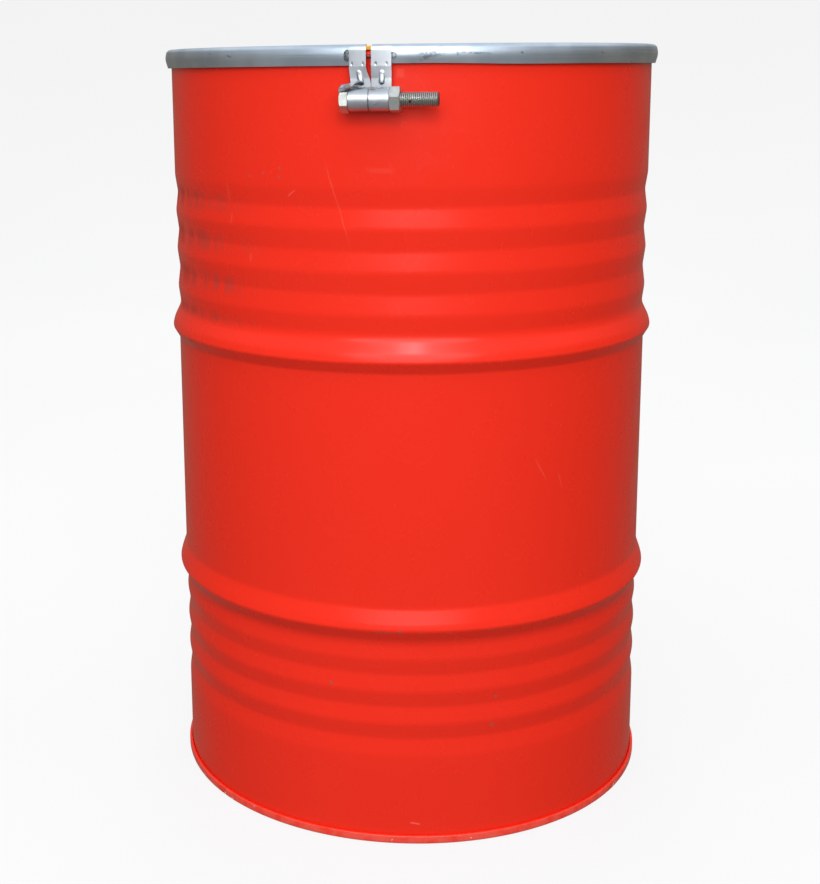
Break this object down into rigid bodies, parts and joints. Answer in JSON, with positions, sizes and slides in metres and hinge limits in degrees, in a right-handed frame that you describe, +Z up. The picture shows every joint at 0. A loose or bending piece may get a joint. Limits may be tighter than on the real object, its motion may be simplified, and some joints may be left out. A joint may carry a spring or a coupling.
{
  "type": "open-head steel drum with bolted closing ring",
  "caption": "Tall cylindrical steel drum with rolling hoops and grooved bands, a recessed removable lid with gasket, and a split closing ring drawn shut by a bolt and nut.",
  "frame": {"origin": "where the drum's axis meets the floor it stands on; the bolt at the front makes the box's centre lie about 12 mm towards -Y of it", "axes": "+Z up along the drum's axis; the closing ring's split, its lugs and its bolt face -Y, with the bolt along X and its nut on the +X side"},
  "size_m": [0.588, 0.6124, 0.887],
  "materials": {
    "body_paint": "satin red paint",
    "bottom_paint": "satin red paint",
    "seam_sealant": "matte",
    "lid_paint": "satin yellow paint",
    "gasket_rubber": "matte black",
    "ring_zinc": "zinc coated sheet, scuffed",
    "head_lug_zinc": "zinc coated sheet",
    "nut_lug_zinc": "zinc coated sheet",
    "head_weld_metal": "dull weld metal",
    "nut_weld_metal": "dull weld metal",
    "bolt_plating": "zinc plated, lightly tarnished",
    "nut_plating": "zinc plated"
  },
  "bodies": {
    "drum": {"body_shell": "body_paint", "bottom_head": "bottom_paint", "seam_compound": "seam_sealant"},
    "lid": {"lid": "lid_paint", "lid_gasket": "gasket_rubber"},
    "ring": {"closing_ring": "ring_zinc", "head_side_lug": "head_lug_zinc", "nut_side_lug": "nut_lug_zinc", "head_side_weld": "head_weld_metal", "nut_side_weld": "nut_weld_metal"},
    "bolt": {"closing_bolt": "bolt_plating"},
    "nut": {"closing_nut": "nut_plating"}
  },
  "joints": [
    {"name": "ring_lift", "type": "slide", "parent": "drum", "child": "ring", "axis": [0, 0, 1], "range_m": [0, 0.6]},
    {"name": "lid_lift", "type": "slide", "parent": "drum", "child": "lid", "axis": [0, 0, 1], "range_m": [0, 0.3]},
    {"name": "nut_turn", "type": "hinge", "parent": "ring", "child": "nut", "pos_m": [0.02285, -0.3048, 0.8318], "axis": [-1, 0, 0], "range_deg": [0, 6660]},
    {"name": "bolt_travel", "type": "slide", "parent": "ring", "child": "bolt", "axis": [-1, 0, 0], "range_m": [0, 0.037]}
  ],
  "couplings": [
    {"joint": "lid_lift", "follows": "ring_lift", "ratio": 0.5},
    {"joint": "nut_turn", "follows": "bolt_travel", "rad_per_m": 3141.6}
  ]
}
